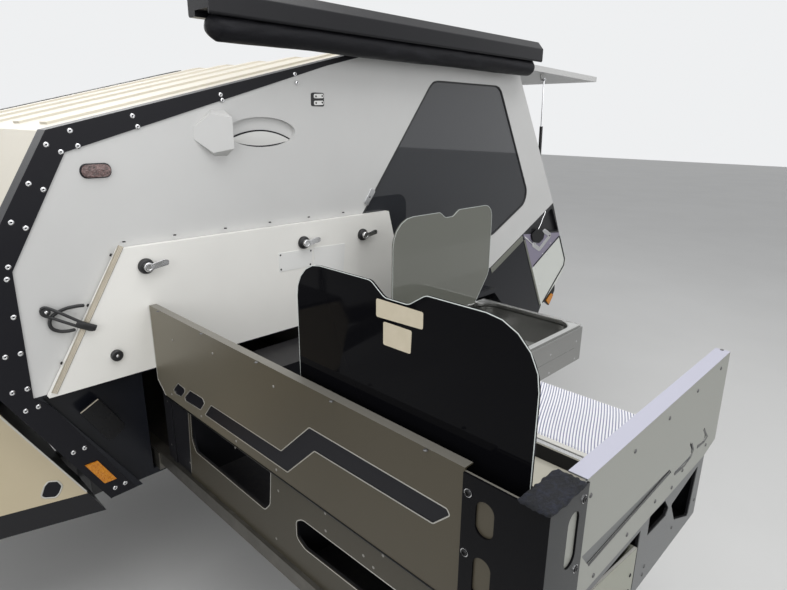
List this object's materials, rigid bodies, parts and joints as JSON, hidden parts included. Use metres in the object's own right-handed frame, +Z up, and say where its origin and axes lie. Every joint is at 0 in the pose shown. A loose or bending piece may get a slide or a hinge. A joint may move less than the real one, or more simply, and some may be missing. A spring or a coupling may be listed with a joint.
{
  "type": "off-road teardrop camping trailer",
  "caption": "Off-road teardrop camping trailer, parked, with its side kitchen drawn out, stove and sink lids up, rear hatch raised and a folded awning along the roof edge.",
  "frame": {"origin": "centre of the tow ball in the coupling's socket, 0.5 m above the ground", "axes": "+X forward along the trailer, +Y to its left, +Z up"},
  "size_m": [4.959, 3.09, 2.02],
  "materials": {
    "shell_white": "smooth gloss paint",
    "roof_cream": "smooth gloss paint",
    "trim_black": "satin powder coat",
    "chassis_black": "satin powder coat",
    "shield_taupe": "satin metallic paint",
    "end_grey": "satin metallic paint",
    "tail_blue_grey": "satin metallic paint",
    "galvanised": "dull zinc plate",
    "steel": "machined",
    "stainless": "fine brushed",
    "alloy": "cast and machined",
    "door_alloy": "brushed sheet",
    "rod_chrome": "polished",
    "tyre": "moulded rubber",
    "rubber": "moulded rubber",
    "window_glass": "tinted",
    "stove_glass": "black tinted",
    "sink_glass": "grey tinted",
    "plastic_white": "moulded",
    "amber": "moulded lens",
    "lamp_red": "moulded lens",
    "bed_fabric": "woven",
    "bag_vinyl": "coated cloth",
    "pad_fabric": "textured cloth",
    "liner": "satin paint",
    "deck_wood": "plain board"
  },
  "bodies": {
    "body": {"chassis_frame": "chassis_black", "drawbar": "chassis_black", "coupling": "galvanised", "body_floor": "chassis_black", "wheel_wells": "chassis_black", "bed_deck": "deck_wood", "kitchen_bay": "liner", "lower_side_left": "shell_white", "lower_side_right": "shell_white", "tail_box": "tail_blue_grey", "upper_side_left": "shell_white", "upper_side_right": "shell_white", "windows": "window_glass", "roof_panel": "roof_cream", "front_panel": "shell_white", "edge_trims": "trim_black", "mattress": "bed_fabric", "strut_pins": "steel", "trailing_arms": "chassis_black", "springs": "steel", "dampers": "steel", "mudguards": "trim_black", "front_box": "trim_black", "awning_case": "trim_black", "awning_bag": "bag_vinyl", "kitchen_frame": "chassis_black", "kitchen_panels": "shield_taupe", "bay_channels": "galvanised", "kitchen_runners": "galvanised", "stove": "stainless", "bench_mat": "plastic_white", "kitchen_door": "door_alloy", "side_lamps": "lamp_red", "amber_reflectors": "amber", "vent_scoops": "plastic_white", "tail_lamps": "lamp_red"},
    "wheel_left": {"tyre_left": "tyre", "rim_left": "alloy", "hub_left": "steel"},
    "wheel_right": {"tyre_right": "tyre", "rim_right": "alloy", "hub_right": "steel"},
    "jockey_stand": {"jockey_tube": "galvanised"},
    "jockey_caster": {"jockey_fork": "galvanised"},
    "jockey_roller": {"jockey_wheel": "rubber"},
    "leg_left": {"stabiliser_leg_left": "galvanised"},
    "leg_right": {"stabiliser_leg_right": "galvanised"},
    "front_lid": {"front_box_lid": "trim_black"},
    "hatch": {"rear_hatch": "shell_white"},
    "strut_lower": {"strut_tubes": "trim_black"},
    "strut_upper": {"strut_rods": "rod_chrome"},
    "shields": {"front_shield": "shield_taupe", "end_shield": "end_grey", "corner_post": "trim_black", "post_pad": "pad_fabric"},
    "stove_cover": {"stove_lid": "stove_glass"},
    "sink_unit": {"sink": "stainless"},
    "sink_cover": {"sink_lid": "sink_glass"},
    "drawer_box": {"drawer": "liner"},
    "locker_flap": {"locker_door": "shell_white"}
  },
  "joints": [
    {"name": "wheel_left_spin", "type": "hinge", "parent": "body", "child": "wheel_left", "pos_m": [-3.65, 0.83, -0.1], "axis": [0, 1, 0], "continuous": true},
    {"name": "wheel_right_spin", "type": "hinge", "parent": "body", "child": "wheel_right", "pos_m": [-3.65, -0.83, -0.1], "axis": [0, 1, 0], "continuous": true},
    {"name": "jockey_stow", "type": "hinge", "parent": "body", "child": "jockey_stand", "pos_m": [-0.64, -0.31, -0.048], "axis": [0, -1, 0], "range_deg": [0, 90]},
    {"name": "jockey_swivel", "type": "hinge", "parent": "jockey_stand", "child": "jockey_caster", "pos_m": [-0.64, -0.31, -0.17], "axis": [0, 0, 1], "continuous": true},
    {"name": "jockey_roll", "type": "hinge", "parent": "jockey_caster", "child": "jockey_roller", "pos_m": [-0.702, -0.31, -0.375], "axis": [0, 1, 0], "continuous": true},
    {"name": "leg_left_fold", "type": "hinge", "parent": "body", "child": "leg_left", "pos_m": [-4.38, 0.57, -0.052], "axis": [0, -1, 0], "range_deg": [0, 90]},
    {"name": "leg_right_fold", "type": "hinge", "parent": "body", "child": "leg_right", "pos_m": [-4.38, -0.57, -0.052], "axis": [0, -1, 0], "range_deg": [0, 90]},
    {"name": "front_lid_lift", "type": "hinge", "parent": "body", "child": "front_lid", "pos_m": [-1.643, 0, 0.42595], "axis": [0, -1, 0], "range_deg": [0, 65]},
    {"name": "hatch_lift", "type": "hinge", "parent": "body", "child": "hatch", "pos_m": [-4.06969, 0, 1.41039], "axis": [0, -1, 0], "range_deg": [0, 55]},
    {"name": "strut_swing", "type": "hinge", "parent": "body", "child": "strut_lower", "pos_m": [-4.44, 0, 0.74], "axis": [0, 1, 0], "range_deg": [0, 26.5]},
    {"name": "strut_stroke", "type": "slide", "parent": "strut_lower", "child": "strut_upper", "axis": [-0.0413, 0, -0.9991], "range_m": [0, 0.2151]},
    {"name": "shield_drop", "type": "slide", "parent": "body", "child": "shields", "axis": [0, 0, -1], "range_m": [0, 0.22]},
    {"name": "stove_lid_fold", "type": "hinge", "parent": "body", "child": "stove_cover", "pos_m": [-2.162, 1.815, 0.379], "axis": [0, -1, 0], "range_deg": [0, 90]},
    {"name": "sink_slide", "type": "slide", "parent": "body", "child": "sink_unit", "axis": [1, 0, 0], "range_m": [0, 0.6]},
    {"name": "sink_lid_fold", "type": "hinge", "parent": "sink_unit", "child": "sink_cover", "pos_m": [-3.262, 1.054, 0.379], "axis": [-1, 0, 0], "range_deg": [0, 90]},
    {"name": "drawer_slide", "type": "slide", "parent": "body", "child": "drawer_box", "axis": [0, -1, 0], "range_m": [-0.42, 0]},
    {"name": "locker_door_swing", "type": "hinge", "parent": "body", "child": "locker_flap", "pos_m": [-2.5, -0.804, 0.405], "axis": [-1, 0, 0], "range_deg": [0, 170]}
  ],
  "couplings": [
    {"joint": "strut_swing", "follows": "hatch_lift", "ratio": 0.48131},
    {"joint": "strut_stroke", "follows": "hatch_lift", "m_per_rad": 0.22385}
  ]
}
